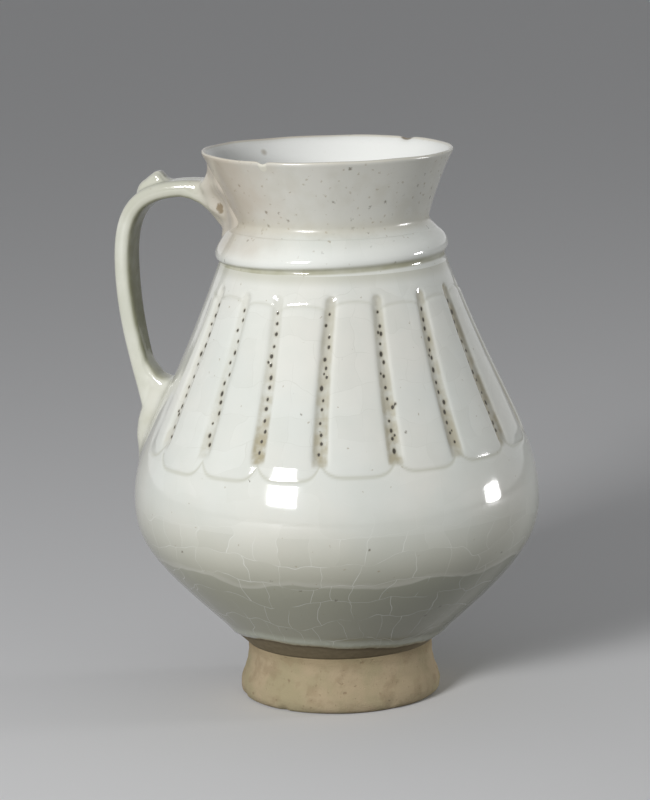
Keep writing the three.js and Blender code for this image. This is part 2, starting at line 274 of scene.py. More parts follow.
def blend(tree, factor, under, over):
    """Lays one colour over another. Each is linked or plain."""
    sockets = {"Factor": factor}
    for socket, colour in (("A", under), ("B", over)):
        sockets[socket] = colour if isinstance(colour, bpy.types.NodeSocket) else (*colour, 1)
    return add(tree, "Mix", sockets, data_type="RGBA").outputs["Result"]


def ramp(tree, value, low, high):
    """0 at low, 1 at high and smooth between. High may be below low."""
    limits = {"Value": value, "From Min": low, "From Max": high}
    return add(tree, "MapRange", limits, interpolation_type="SMOOTHSTEP").outputs[0]


clouds, cloud_in, cloud_out = new_group(
    "soft_clouds",
    [("Vector", "Place", None), ("Float", "Size", 10), ("Float", "From", 0.4), ("Float", "To", 0.6)],
    [("Float", "Mask")],
)
cloud_noise = noise(clouds, cloud_in["Place"], divided(clouds, 1, cloud_in["Size"]), 3)
cloud_mask = ramp(clouds, cloud_noise, cloud_in["From"], cloud_in["To"])
clouds.links.new(cloud_mask, cloud_out["Mask"])


def cloudy(tree, place, size, low, high):
    """Soft patches of about one size in mm. A narrow band of low and high gives firm edges."""
    return use(tree, clouds, {"Place": place, "Size": size, "From": low, "To": high})["Mask"]


specks, speck_in, speck_out = new_group(
    "specks",
    [
        ("Vector", "Place", None),
        ("Float", "Spacing", 4),
        ("Float", "Radius", 0.4),
        ("Float", "Share", 0.7),
    ],
    [("Float", "Mask")],
)
ragged = add(specks, "TexNoise", {"Vector": speck_in["Place"], "Scale": 1.3, "Detail": 1})
ragged = add(specks, "VectorMath", {0: ragged.outputs["Color"], "Scale": 1.3}, operation="SCALE")
ragged = add(specks, "VectorMath", {0: speck_in["Place"], 1: ragged.outputs[0]}, operation="ADD")
speck_scale = divided(specks, 1, speck_in["Spacing"])
speck_cells = add(specks, "TexVoronoi", {"Vector": ragged.outputs[0], "Scale": speck_scale}).outputs
speck_edge = divided(specks, speck_in["Radius"], speck_in["Spacing"])
speck_core = times(specks, speck_edge, 0.25)
speck_spot = ramp(specks, speck_cells["Distance"], speck_edge, speck_core)
speck_draw = add(specks, "SeparateColor", {"Color": speck_cells["Color"]}).outputs[0]
speck_kept = add(specks, "Math", {0: speck_draw, 1: speck_in["Share"]}, operation="LESS_THAN")
specks.links.new(times(specks, speck_spot, speck_kept.outputs[0]), speck_out["Mask"])


def speckled(tree, place, spacing, radius, share):
    """Ragged dots, with spacing and radius in mm. The share is how many of them are kept."""
    dots = {"Place": place, "Spacing": spacing, "Radius": radius, "Share": share}
    return use(tree, specks, dots)["Mask"]


def millimetres(tree):
    """Object coordinates in mm, measured from the pot's axis."""
    place = add(tree, "TexCoord").outputs["Object"]
    to_axis = {"Vector": place, "Location": (-pot_x / mm, 0, 0), "Scale": (1 / mm, 1 / mm, 1 / mm)}
    return add(tree, "Mapping", to_axis).outputs[0]


foot_seam = 18
foot_toe = bow((30.7, 0), (33.2, 0.4), (33.6, 3.96), (31.6, 8.1), 16)
foot_waist = bow((31.6, 8.1), (30.2, 11.7), (30, 15.3), (30.4, foot_seam), 16)
foot_recess = [(0, 11), (12, 11), (19.6, 11), (20.6, 10.7), (21.3, 10)]
foot_recess += [(22, 6), (23, 1), (23.3, 0.3), (24, 0)]
foot_rest_face = [(26, 0), (28.5, 0), (30, 0)]
foot_top = [(29.8, foot_seam), (15, foot_seam), (0, foot_seam)]
foot_outline = foot_recess + foot_rest_face + foot_toe + foot_waist[1:] + foot_top

foot = spun("foot", foot_outline, 240)
angle, radius, height = read_round(foot)
on_outside = smooth_step(24, 30, radius)
dent = np.zeros_like(angle)
edge_radius = 30.6
chips = (
    (-1.9, 0.5, 2.2, 0.8),
    (-0.75, 2, 2.6, 0.6),
    (-2.6, 0.8, 3, 0.7),
    (0.9, 0.6, 2.4, 0.8),
    (2.4, 1, 2.8, 0.6),
)
for chip_angle, chip_height, chip_size, chip_depth in chips:
    off = np.hypot(edge_radius * np.sin(angle - chip_angle), height - chip_height)
    chip = chip_depth * (1 - smooth_step(0, chip_size, off))
    dent += np.where(np.cos(angle - chip_angle) > 0, chip, 0)
rough_turning = 0.12 * np.sin(7 * angle + height) * np.sin(height / 1.3 + 2 * angle)
radius = radius + on_outside * (hand_thrown(angle, height) + rough_turning - dent)
write_round(foot, angle, radius, height)

clay = bpy.data.materials.new("bare_foot_clay")
clay.use_nodes = True
tree = clay.node_tree
shader = tree.nodes["Principled BSDF"]
place = millimetres(tree)
tall = add(tree, "SeparateXYZ", {"Vector": place}).outputs["Z"]
warm = cloudy(tree, place, 14, 0.4, 0.62)
grimy = cloudy(tree, place, 5, 0.5, 0.68)
pits = speckled(tree, place, 4.5, 0.75, 0.5)
crumbs = speckled(tree, place, 1.4, 0.35, 0.4)
colour = blend(tree, warm, (0.37, 0.315, 0.195), (0.43, 0.345, 0.225))
colour = blend(tree, times(tree, grimy, 0.4), colour, (0.27, 0.2, 0.12))
colour = blend(tree, times(tree, crumbs, 0.5), colour, (0.3, 0.22, 0.13))
colour = blend(tree, times(tree, pits, 0.6), colour, (0.22, 0.15, 0.09))
# Darker towards the top of the foot
darker_top = times(tree, ramp(tree, tall, 13, 17.5), 0.5)
colour = blend(tree, darker_top, colour, (0.27, 0.21, 0.12))
tree.links.new(colour, shader.inputs["Base Color"])
shader.inputs["Roughness"].default_value = 0.88
shader.inputs["Specular IOR Level"].default_value = 0.25
grain = add(tree, "TexNoise", {"Vector": place, "Scale": 1.6, "Detail": 5, "Roughness": 0.65})
hollow = times(tree, plus(tree, pits, crumbs), -0.6)
relief = plus(tree, grain.outputs[0], hollow)
bump = add(tree, "Bump", {"Height": relief, "Strength": 0.6, "Distance": 0.4 * mm})
tree.links.new(bump.outputs[0], shader.inputs["Normal"])
finish_smooth(foot, clay, "bare_foot_clay", "foot_ring")


# Lower body
# A thrown bowl, luted to the foot's top. The glaze runs down over it and stops in a thick
# uneven roll above the foot. Below the roll the clay is bare and stained, partly darkened with
# painted shade, and a painted shadow runs along the roll's lower edge.
def paint(piece, name, values):
    """Keeps one number for each vertex, for the piece's material."""
    layer = piece.data.attributes.new(name, "FLOAT", "POINT")
    layer.data.foreach_set("value", np.asarray(values, np.float32))


def painted(tree, name):
    """Reads those numbers in the material."""
    return add(tree, "Attribute", None, attribute_name=name).outputs["Fac"]


unroll, unroll_in, unroll_out = new_group(
    "unrolled_wall",
    [("Vector", "Place", None)],
    [("Vector", "Flat")],
)
mean_radius = 52
split = add(unroll, "SeparateXYZ", {"Vector": unroll_in["Place"]}).outputs
around = add(unroll, "Math", {0: split["Y"], 1: split["X"]}, operation="ARCTAN2").outputs[0]
flat = add(unroll, "CombineXYZ", {"X": times(unroll, around, mean_radius), "Y": split["Z"]})
unroll.links.new(flat.outputs[0], unroll_out["Flat"])

crackle, crackle_in, crackle_out = new_group(
    "crackle",
    [
        ("Vector", "Flat", None),
        ("Float", "Cell Width", 12),
        ("Float", "Cell Height", 9),
        ("Float", "Line", 0.2),
    ],
    [("Float", "Line"), ("Float", "Cell")],
)
moved = crackle_in["Flat"]
middle_grey = (0.5, 0.5, 0.5)
for drift_scale, drift_size in ((0.04, 18), (0.14, 4.5)):
    wander = {"Vector": crackle_in["Flat"], "Scale": drift_scale, "Detail": 1}
    drift = add(crackle, "TexNoise", wander).outputs["Color"]
    drift = add(crackle, "VectorMath", {0: drift, 1: middle_grey}, operation="SUBTRACT").outputs[0]
    drift = add(crackle, "VectorMath", {0: drift, "Scale": drift_size}, operation="SCALE")
    moved = add(crackle, "VectorMath", {0: moved, 1: drift.outputs[0]}, operation="ADD").outputs[0]
courses = add(
    crackle,
    "TexBrick",
    {
        "Vector": moved,
        "Color1": (0, 0, 0, 1),
        "Color2": (1, 1, 1, 1),
        "Scale": 1,
        "Mortar Size": crackle_in["Line"],
        "Mortar Smooth": 1,
        "Brick Width": crackle_in["Cell Width"],
        "Row Height": crackle_in["Cell Height"],
    },
    offset=0.37,
    squash=1.5,
    squash_frequency=2,
)
kept = ramp(crackle, noise(crackle, crackle_in["Flat"], 0.09, 2), 0.36, 0.5)
crackle.links.new(times(crackle, courses.outputs["Fac"], kept), crackle_out["Line"])
crackle.links.new(courses.outputs["Color"], crackle_out["Cell"])


def along(tree, place, direction):
    """How far a place lies along a direction."""
    return add(tree, "VectorMath", {0: place, 1: direction}, operation="DOT_PRODUCT").outputs["Value"]


def glaze(name, speck_spacing, speck_radius, cracks, roughness=0.07, trim=None):
    """The pot's glaze: ivory, crackled and specked. Trim adds what only one piece has."""
    material = bpy.data.materials.new(name)
    material.use_nodes = True
    tree = material.node_tree
    shader = tree.nodes["Principled BSDF"]
    place = millimetres(tree)
    flat = use(tree, unroll, {"Place": place})["Flat"]
    tall = add(tree, "SeparateXYZ", {"Vector": place}).outputs["Z"]

    ivory = cloudy(tree, place, 38, 0.35, 0.65)
    milky = cloudy(tree, place, 9, 0.3, 0.75)
    colour = blend(tree, ivory, (0.75, 0.77, 0.725), (0.79, 0.785, 0.725))
    colour = blend(tree, times(tree, milky, 0.35), colour, (0.69, 0.715, 0.66))

    # Towards the foot the glaze grows thin and greyer, and darker still as painted shade of the
    # underside
    low = times(tree, ramp(tree, tall, 80, 41), 0.86)
    colour = blend(tree, low, colour, (0.375, 0.365, 0.27))
    # Below a wavy line near 55 mm the tone is a painted reflection of the floor's edge, deeper on the
    # right as painted shade, with a faint pale line along its top
    edge_wave = noise(tree, flat, 0.045, 2)
    reflection_edge = plus(tree, tall, times(tree, edge_wave, 12))
    painted_reflection_shade = ramp(tree, reflection_edge, 55.6, 54.8)
    right = ramp(tree, along(tree, place, (0.96 / 66, 0.28 / 66, 0)), -0.3, 0.9)
    painted_reflection_shade = times(tree, painted_reflection_shade, times_plus(tree, right, 0.47, 0.33))
    colour = blend(tree, painted_reflection_shade, colour, (0.28, 0.29, 0.22))
    reflection_lip = times(tree, ramp(tree, reflection_edge, 57.5, 55.8), ramp(tree, reflection_edge, 55, 55.5))
    colour = blend(tree, times(tree, reflection_lip, 0.2), colour, (0.84, 0.83, 0.77))

    # The neck's glaze is worn
    worn = ramp(tree, tall, 153.5, 158.5)
    colour = blend(tree, times(tree, worn, 0.55), colour, (0.56, 0.54, 0.48))

    # Crackle: fine plates, grey lines above and pale lines where the glaze is thin
    crazed = use(tree, crackle, {"Flat": flat, "Cell Width": 7.4, "Cell Height": 8.6, "Line": 0.13})
    plate = add(tree, "SeparateColor", {"Color": crazed["Cell"]}).outputs[0]
    lines = times(tree, crazed["Line"], cracks)
    plate = times(tree, plate, cracks)
    colour = blend(tree, times(tree, plate, 0.2), colour, (0.36, 0.36, 0.29))
    below = ramp(tree, tall, 96, 66)
    pale_line = times(tree, lines, times(tree, below, 0.52))
    grey_line = times(tree, lines, times_plus(tree, below, -0.2, 0.55))
    colour = blend(tree, grey_line, colour, (0.42, 0.42, 0.35))
    colour = blend(tree, pale_line, colour, (0.9, 0.91, 0.87))

    # Iron specks: small brown ones, and fewer dark ones that leave a pit
    brown = speckled(tree, place, speck_spacing, speck_radius, 0.9)
    dark = speckled(tree, place, speck_spacing * 1.9, speck_radius * 1.5, 0.7)
    colour = blend(tree, times(tree, brown, 0.6), colour, (0.34, 0.28, 0.18))
    colour = blend(tree, times(tree, dark, 0.75), colour, (0.15, 0.13, 0.09))

    ripple = noise(tree, place, 0.09, 1)
    skin = noise(tree, place, 1.1, 2)
    relief = times_plus(tree, skin, 0.03, times(tree, ripple, 0.6))
    relief = times_plus(tree, dark, -0.3, relief)
    relief = times_plus(tree, plate, 0.09, relief)
    gloss = times_plus(tree, milky, 0.05, roughness)
    if trim:
        colour, gloss, relief = trim(tree, place, tall, colour, gloss, relief)
    tree.links.new(colour, shader.inputs["Base Color"])
    tree.links.new(gloss, shader.inputs["Roughness"])
    shader.inputs["IOR"].default_value = 1.52
    bump = add(tree, "Bump", {"Height": relief, "Strength": 0.5, "Distance": 0.3 * mm})
    tree.links.new(bump.outputs[0], shader.inputs["Normal"])
    return material


def glaze_edge(angle):
    """Height in mm at which the glaze stops above the foot."""
    front_left = ((1 + np.cos(angle - camera_side + 2.06)) / 2) ** 7
    return 20.7 + 3.8 * front_left + 0.3 * np.sin(5 * angle) + 0.2 * np.sin(13 * angle + 2)


belly_seam = 66
belly_radius = 66.3
bowl_ends = (30.4, foot_seam), (59.838, 44.88), (belly_radius, 52.08), (belly_radius, belly_seam)
vessel_floor = 23
belly_inside = 61.7
bowl_inner = bow((24, vessel_floor), (50, 38), (belly_inside, 50), (belly_inside, belly_seam), 24)
bowl_floor = [(12, vessel_floor), (0, vessel_floor)]
bowl_outline = foot_top[::-1] + bow(*bowl_ends, 84) + bowl_inner[::-1] + bowl_floor
lower_body = spun("lower_body", bowl_outline, 288)
bowl_curve = np.array(bow(*bowl_ends, 200))


def wall_radius(curve, height):
    """Outer radius of the wall at a height, from its (radius, height) curve."""
    return np.interp(height, curve[:, 1], curve[:, 0])


angle, radius, height = read_round(lower_body)
outside = radius > wall_radius(bowl_curve, height) - 0.5
cover = height - glaze_edge(angle)
layer = 0.35 * smooth_step(-0.1, 0.5, cover)
roll = 0.45 * smooth_step(-0.1, 0.8, cover) * (1 - smooth_step(0.8, 3.4, cover))
down = (layer + roll) * (1 - smooth_step(34, 62, height))
thrown = hand_thrown(angle, height)
radius = radius + np.where(outside, thrown + down, thrown * smooth_step(30, belly_seam, height))
write_round(lower_body, angle, radius, height)
well_covered = 5
paint(lower_body, "glaze_cover", np.where(outside, cover, well_covered))


def bare_below(tree, place, tall, colour, gloss, relief):
    """The glaze's thick lower edge with a painted shadow, and bare stained clay partly in painted shade.
    """
    cover = painted(tree, "glaze_cover")
    ragged = noise(tree, place, 0.5, 3)
    cover = plus(tree, cover, times(tree, minus(tree, ragged, 0.5), 1.2))
    glazed = ramp(tree, cover, -0.15, 0.25)
    pooled = times(tree, ramp(tree, cover, 4.5, 1.5), times(tree, ragged, 0.9))
    colour = blend(tree, pooled, colour, (0.6, 0.64, 0.54))
    # A painted shadow along the glaze's lower edge
    painted_edge_shadow = times(tree, ramp(tree, cover, 0.7, 0), 0.8)
    colour = blend(tree, painted_edge_shadow, colour, (0.24, 0.2, 0.12))
    # Bare stained clay, darker than the foot as painted shade under the bowl
    bare = blend(tree, ragged, (0.12, 0.095, 0.053), (0.24, 0.195, 0.12))
    # Darker still just below the edge: painted shadow under the roll
    painted_shadow_under_roll = times(tree, ramp(tree, cover, -1.3, -0.1), 0.7)
    bare = blend(tree, painted_shadow_under_roll, bare, (0.1, 0.075, 0.04))
    colour = blend(tree, glazed, bare, colour)
    gloss = add(tree, "Mix", {"Factor": glazed, "A": 0.8, "B": gloss}).outputs["Result"]
    return colour, gloss, relief


lower_glaze = glaze("lower_body_glaze", speck_spacing=5, speck_radius=0.45, cracks=1, trim=bare_below)
finish_smooth(lower_body, lower_glaze, "white_glaze", "lower_body")


# Shoulder
# A thrown cone, luted rim to rim on the bowl. Fourteen grooves are cut down its wall and leave
# raised petals between them. A row of holes is pierced along each groove and closed by glaze.
steps_round = 17
groove_count = 14
step = math.tau / steps_round
columns_per_step = 32
groove_low, groove_high = 88, 137.6
hole_low, hole_high, hole_count = 91.6, 132.4, 14

# Three of the even places stay free at the handle, with the middle one 2.6 degrees beside it
first_groove = math.pi + 1.875 * step

collar_seam = 143.6
shoulder_curve = np.array(
    bow((belly_radius, belly_seam), (belly_radius, 85.4), (54.34, 97.04), (37.2, collar_seam), 600)
)
rows = np.concatenate([
    [belly_seam, 66.06],
    np.linspace(67, 80, 13, endpoint=False),
    np.linspace(80, hole_low, 20, endpoint=False),
    np.linspace(hole_low, hole_high, 91, endpoint=False),
    np.linspace(hole_high, 140, 15, endpoint=False),
    np.linspace(140, 143.54, 6),
    [collar_seam],
])
wall_slope = np.gradient(shoulder_curve[:, 0], shoulder_curve[:, 1])
shoulder_wall = 4.2
inner_rows = np.linspace(collar_seam, belly_seam, 12)
inner_wall = shoulder_wall * np.hypot(1, np.interp(inner_rows, shoulder_curve[:, 1], wall_slope))
shoulder_outline = list(zip(wall_radius(shoulder_curve, rows), rows))
shoulder_outline += list(zip(wall_radius(shoulder_curve, inner_rows) - inner_wall, inner_rows))
shoulder = spun("shoulder", shoulder_outline, steps_round * columns_per_step)

# How far each groove strays from its even place, in degrees: at its lower and its upper end
stray = np.zeros((steps_round, 2))
stray[:groove_count] = np.radians([
    (3, 2.4), (2.3, 2.3), (0.5, -1.2), (-1.6, 2.2), (-0.3, 2.1), (-0.7, 4.7), (0.5, 4.4),
    (1.2, 2), (-0.8, 0.6), (0.6, -0.9), (-1.1, -0.2), (0.9, 1.4), (-0.4, -1), (-2.2, -1.8),
])

# The columns are crowded towards the middle of each groove, where the shape is finest
crowding = 0.42
angle, radius, height = read_round(shoulder)
outside = radius > wall_radius(shoulder_curve, height) - 1
column = ((angle - first_groove) / step) % steps_round
nearest = np.floor(column + 0.5)
across = column - nearest
across = crowding * across + (1 - crowding) * 4 * across**3
nearest = nearest.astype(int) % steps_round
beside = (nearest + np.where(across > 0, 1, -1)) % steps_round
climb = np.clip((height - groove_low) / (groove_high - groove_low), 0, 1) ** 2
lean_here = stray[nearest, 0] + (stray[nearest, 1] - stray[nearest, 0]) * climb
lean_beside = stray[beside, 0] + (stray[beside, 1] - stray[beside, 0]) * climb
lean = lean_here + (lean_beside - lean_here) * np.abs(across)
angle = first_groove + step * (nearest + across) + lean
sideways = radius * (step * across + lean - lean_here)
grooved = nearest < groove_count

# Grooves: flat channels with soft sides and a round top that run out at the lower end
half_width = 2.35 - 0.75 * np.clip((height - groove_low) / 50, 0, 1)
above_centre = np.maximum(height - (groove_high - half_width), 0)
from_middle = np.hypot(sideways, above_centre)
channel = 1 - smooth_step(half_width - 1.6, half_width + 1.2, from_middle)
channel *= smooth_step(86.5, 91, height) * grooved
channel_floor = 1 - smooth_step(half_width - 0.5, half_width + 0.5, from_middle)
channel_floor *= smooth_step(87, 88.5, height) * grooved
floor_wave = 1 + 0.12 * np.sin(height / 2.7 + nearest * 2.1)

# Petals: raised between two grooves, rounded at both ends
petal = np.floor(column).astype(int) % steps_round
edge_share = 1 - 2 * np.abs(across)
is_full = petal < groove_count - 1
is_half = ((petal == groove_count - 1) | (petal == steps_round - 1)) & grooved
shown = np.where(is_full, 1, np.where(is_half, smooth_step(0.05, 0.5, edge_share), 0))
petal_low = 84.6 + 2 * np.sin(math.tau * (petal - 2.5) / 13) + 4.6 * edge_share**5
petal_high = 135 + 0.7 * np.sin(2.3 * petal + 1) - 1.3 * edge_share**2 - 2 * edge_share**8
inside_petal = smooth_step(-0.4, 3.4, height - petal_low)
inside_petal *= smooth_step(-0.3, 1.6, petal_high - height)
crown = 0.35 * inside_petal * (1 - 0.5 * smooth_step(0.3, 1, edge_share))
low_cut = np.exp(-(((height - petal_low + 0.7) / 0.55) ** 2))
high_cut = np.exp(-(((height - petal_high - 0.2) / 0.42) ** 2))

# Holes: pierced a little unevenly, some of them twice
chance = np.random.default_rng(11)
no_hole = 3
pit = np.full_like(angle, no_hole)
for groove in range(groove_count):
    near = np.flatnonzero(outside & (nearest == groove) & (np.abs(sideways) < 4))
    for hole in range(hole_count):
        place_up = hole_low + (hole_high - hole_low) * hole / (hole_count - 1) + chance.normal(0, 0.35)
        place_side = chance.normal(0, 0.42)
        size = chance.uniform(0.42, 0.66)
        tall_share = chance.uniform(1, 1.5)
        spots = [(place_side, place_up, size)]
        if chance.random() < 0.14:
            second_side = place_side + chance.choice([-0.9, 0.9])
            second_up = place_up + chance.uniform(0.4, 1.1)
            spots.append((second_side, second_up, size * 0.75))
        for side, up, spot in spots:
            far = np.hypot(sideways[near] - side, (height[near] - up) / tall_share) / spot
            pit[near] = np.minimum(pit[near], far)
hole_depth = 0.12 * (1 - smooth_step(0.35, 1.15, pit))

groove_depth = 0.68
carving = shown * (crown - 0.14 * low_cut - 0.16 * high_cut) * (1 - channel)
carving -= groove_depth * channel * floor_wave + hole_depth
slope = np.interp(height, shoulder_curve[:, 1], wall_slope)
lean_out = 1 / np.hypot(1, slope)
radius = radius + np.where(outside, carving * lean_out, 0) + hand_thrown(angle, height)
height = height - np.where(outside, carving * lean_out * slope, 0)
write_round(shoulder, angle, radius, height)

# Where thick glaze has pooled: how brown each groove is at its foot and at its head
pool_low = np.array([0.25, 0.3, 0.9, 0.75, 0.8, 0.6, 0.8, 0.5, 0.6, 0.8, 0.4, 0.7, 0.5, 0.6, 0, 0, 0])
pool_high = np.array([0.1, 0.1, 0.1, 0.3, 0.3, 0.45, 0.7, 0.4, 0.2, 0.3, 0.3, 0.1, 0.3, 0.2, 0, 0, 0])
head_share = np.clip((height - 92) / 40, 0, 1)
brownness = pool_low[nearest]
brownness += (pool_high[nearest] - pool_low[nearest]) * np.minimum(head_share * 1.5, 1)
greyness = np.array([0.3, 0.25, 0.4, 0.85, 0.75, 0.9, 1, 0.8, 0.6, 0.7, 0.5, 0.8, 0.6, 0.5, 0, 0, 0])
paint(shoulder, "groove", np.where(outside, channel_floor * greyness[nearest], 0))
paint(shoulder, "pool", np.where(outside, channel_floor * brownness, 0))
cut = shown * (low_cut + 0.6 * high_cut) * (1 - channel)
paint(shoulder, "cut", np.where(outside, cut, 0))
paint(shoulder, "pit", pit)


def carved(tree, place, tall, colour, gloss, relief):
    """Grey and tan glaze in the grooves and fine grey cut lines, with painted shade in the holes
    and under the collar.
    """
    groove = painted(tree, "groove")
    pool = painted(tree, "pool")
    cut = painted(tree, "cut")
    pit = painted(tree, "pit")
    patch = cloudy(tree, place, 5, 0.3, 0.62)
    colour = blend(tree, times(tree, groove, 0.62), colour, (0.49, 0.485, 0.41))
    tan = times(tree, pool, times(tree, patch, 0.95))
    colour = blend(tree, tan, colour, (0.38, 0.33, 0.2))
    colour = blend(tree, times(tree, cut, 0.55), colour, (0.46, 0.46, 0.36))
    halo = times(tree, ramp(tree, pit, 2, 1), 0.35)
    colour = blend(tree, halo, colour, (0.42, 0.38, 0.26))
    # Painted shade on the shoulder's top under the collar's bulge
    painted_shade_under_collar = times(tree, ramp(tree, tall, 139.5, 143.2), 0.5)
    colour = blend(tree, painted_shade_under_collar, colour, (0.47, 0.46, 0.36))
    # Near-black in the shallow pits is painted shade for the dark inside seen through each hole
    hole = ramp(tree, pit, 1.25, 0.6)
    colour = blend(tree, hole, colour, (0.055, 0.048, 0.035))
    gloss = times_plus(tree, hole, 0.6, gloss)
    return colour, gloss, relief


shoulder_glaze = glaze("shoulder_glaze", speck_spacing=5.5, speck_radius=0.42, cracks=0.42, trim=carved)
finish_smooth(shoulder, shoulder_glaze, "white_glaze", "upper_body")


# Collar
# A thrown ring with a round bulge, luted on the shoulder and hiding the seam below the neck.
# Glaze has run off the bulge and lies thick and olive in the groove under it, deepened by painted shade.
neck_seam = 154.6
collar_outer = (
    bow((37.2, collar_seam), (36.9, 144.2), (36.7, 144.7), (36.8, 145.2), 6)
    + bow((36.8, 145.2), (36.95, 145.9), (37.95, 146.1), (37.95, 147.6), 10)[1:]
    + bow((37.95, 147.6), (37.95, 149.9), (35.7, 152.3), (33.5, neck_seam), 16)[1:]
)
collar_inner = [(29.9, neck_seam), (30.4, 152), (31, 149), (31.2, 146), (31, collar_seam)]


def collar_tilt(angle, radius, height):
    """The ring sits lower and further out on the handle's side."""
    tilted = smooth_step(collar_seam, 146.5, height) * (1 - smooth_step(149.5, neck_seam, height))
    tilted = tilted * smooth_step(33, 35, radius) * (1 - smooth_step(40, 44, radius))
    tilted = tilted * np.cos(angle - camera_side)
    return radius - 0.4 * tilted, height + 1.2 * tilted


collar = spun("collar", collar_outer + collar_inner, 288)
angle, radius, height = read_round(collar)
radius, height = collar_tilt(angle, radius + hand_thrown(angle, height), height)
write_round(collar, angle, radius, height)


def handle_stain(tree, place, strength, colour):
    """A pinkish-brown stain that spreads from the handle."""
    reach = times_plus(tree, noise(tree, place, 0.1, 4), 0.7, along(tree, place, (1 / 36, 0, 0)))
    stain = times(tree, ramp(tree, reach, 0.35, -0.45), 0.66)
    return blend(tree, times(tree, stain, strength), colour, (0.49, 0.41, 0.31))


def olive_groove(tree, place, tall, colour, gloss, relief):
    """Thick pale glaze on the bulge, and olive glaze and painted shade in the groove, both
    tilted with the ring.
    """
    tall = minus(tree, tall, along(tree, place, (0.03, 0.009, 0)))
    thick = times(tree, ramp(tree, tall, 145, 148), ramp(tree, tall, 154, 150))
    colour = blend(tree, times(tree, thick, 0.6), colour, (0.86, 0.88, 0.84))
    # Olive in the groove under the bulge: pooled glaze and painted shade
    under = times(tree, ramp(tree, tall, 143.7, 144.6), ramp(tree, tall, 146.9, 145.4))
    patch = cloudy(tree, place, 12, 0.3, 0.7)
    under = times(tree, under, times_plus(tree, patch, 0.4, 0.5))
    colour = blend(tree, under, colour, (0.36, 0.35, 0.23))
    stained = times(tree, ramp(tree, tall, 146, 152), 0.75)
    return handle_stain(tree, place, stained, colour), gloss, relief


collar_glaze = glaze("collar_glaze", speck_spacing=3.4, speck_radius=0.5, cracks=0.35, trim=olive_groove)
finish_smooth(collar, collar_glaze, "white_glaze", "collar_ring")


# Neck
# Thrown thinner and flared to a rounded rim, which is chipped at the back and nicked in front.
# Handling has worn its glaze greyer, and a pinkish-brown stain spreads from the handle.
rim_top = 180
neck_outer = bow((33.5, neck_seam), (32.8, 155.3), (31.7, 156.2), (31.7, 157.6), 9)
neck_outer += bow((31.7, 157.6), (31.7, 159.3), (36.6, 171.36), (40.3, 178.5), 34)[1:]
lip = [(40.55, 179), (40.6, 179.6), (40.4, 179.93), (40.05, rim_top), (39.6, 179.8), (39.1, 179.2)]
neck_inner = bow((38.2, 178.3), (34.2, 171.2), (28.7, 161.5), (29.9, neck_seam), 22)
neck = spun("neck", neck_outer + lip + neck_inner, 400)
angle, radius, height = read_round(neck)
at_rim = smooth_step(174, rim_top, height)
chipped = np.zeros_like(angle)
scarred = np.zeros_like(angle)
rim_middle = 38
far_off = 99
front_nick = (-1.836, 2.3, 0.75, 4.5)
back_chip = (1.157, 4, 0.55, 1)
for chip_angle, chip_size, chip_depth, scar_length in (front_nick, back_chip):
    off = np.abs(rim_middle * np.sin(angle - chip_angle))
    off = np.where(np.cos(angle - chip_angle) > 0, off, far_off)
    chip_share = 1 - smooth_step(0, chip_size, off)
    chipped += chip_depth * chip_share
    scar_rise = smooth_step(rim_top - scar_length, rim_top - 0.3 * scar_length, height)
    scarred += chip_share * scar_rise
height = height - at_rim**3 * chipped
height = height - at_rim * (0.21 + 0.14 * np.sin(3 * angle + 1) + 0.06 * np.sin(11 * angle))
radius = radius + hand_thrown(angle, height)
write_round(neck, angle, radius, height)
neck_curve = np.array(neck_outer + lip[:1])
paint(neck, "chip", scarred)
into_wall = wall_radius(neck_curve, height) + hand_thrown(angle, height) - radius
paint(neck, "inside", smooth_step(1, 1.6, into_wall))


def away_from(tree, place, spot):
    return add(tree, "VectorMath", {0: place, 1: spot}, operation="DISTANCE").outputs["Value"]


def worn_and_stained(tree, place, tall, colour, gloss, relief):
    """A worn and stained outside, a clean white inside, and bare clay at the lip and the chips."""
    inside = painted(tree, "inside")
    outer = minus(tree, 1, inside)
    blotch = times(tree, cloudy(tree, place, 7, 0.45, 0.72), times(tree, outer, 0.25))
    colour = blend(tree, blotch, colour, (0.5, 0.47, 0.38))
    stained = times_plus(tree, ramp(tree, tall, 153, 160), 0.25, 0.75)
    colour = handle_stain(tree, place, times(tree, outer, stained), colour)
    colour = blend(tree, times(tree, inside, 0.92), colour, (0.88, 0.89, 0.865))
    shade = times(tree, ramp(tree, tall, 162, 157), ramp(tree, tall, neck_seam, 157))
    shade = times(tree, shade, times(tree, outer, 0.35))
    colour = blend(tree, shade, colour, (0.52, 0.49, 0.38))

    wear = times_plus(tree, noise(tree, place, 0.1, 4), 1.1, -0.1)
    worn_lip = times(tree, ramp(tree, tall, 179, 179.5), wear)
    colour = blend(tree, worn_lip, colour, (0.74, 0.7, 0.58))
    back = add(tree, "SeparateXYZ", {"Vector": place}).outputs["Y"]
    scar = blend(tree, ramp(tree, back, -5, 5), (0.74, 0.72, 0.62), (0.16, 0.12, 0.07))
    chip = times(tree, ramp(tree, painted(tree, "chip"), 0.2, 0.6), 0.85)
    colour = blend(tree, chip, colour, scar)

    inner_spot = ramp(tree, away_from(tree, place, (-29.8, 22.2, 175.4)), 1.7, 0.3)
    colour = blend(tree, times(tree, inner_spot, 0.55), colour, (0.3, 0.24, 0.15))
    return colour, gloss, relief


neck_glaze = glaze(
    "neck_glaze",
    speck_spacing=2.5,
    speck_radius=0.55,
    cracks=0.12,
    roughness=0.2,
    trim=worn_and_stained,
)
finish_smooth(neck, neck_glaze, "worn_neck_glaze", "neck")


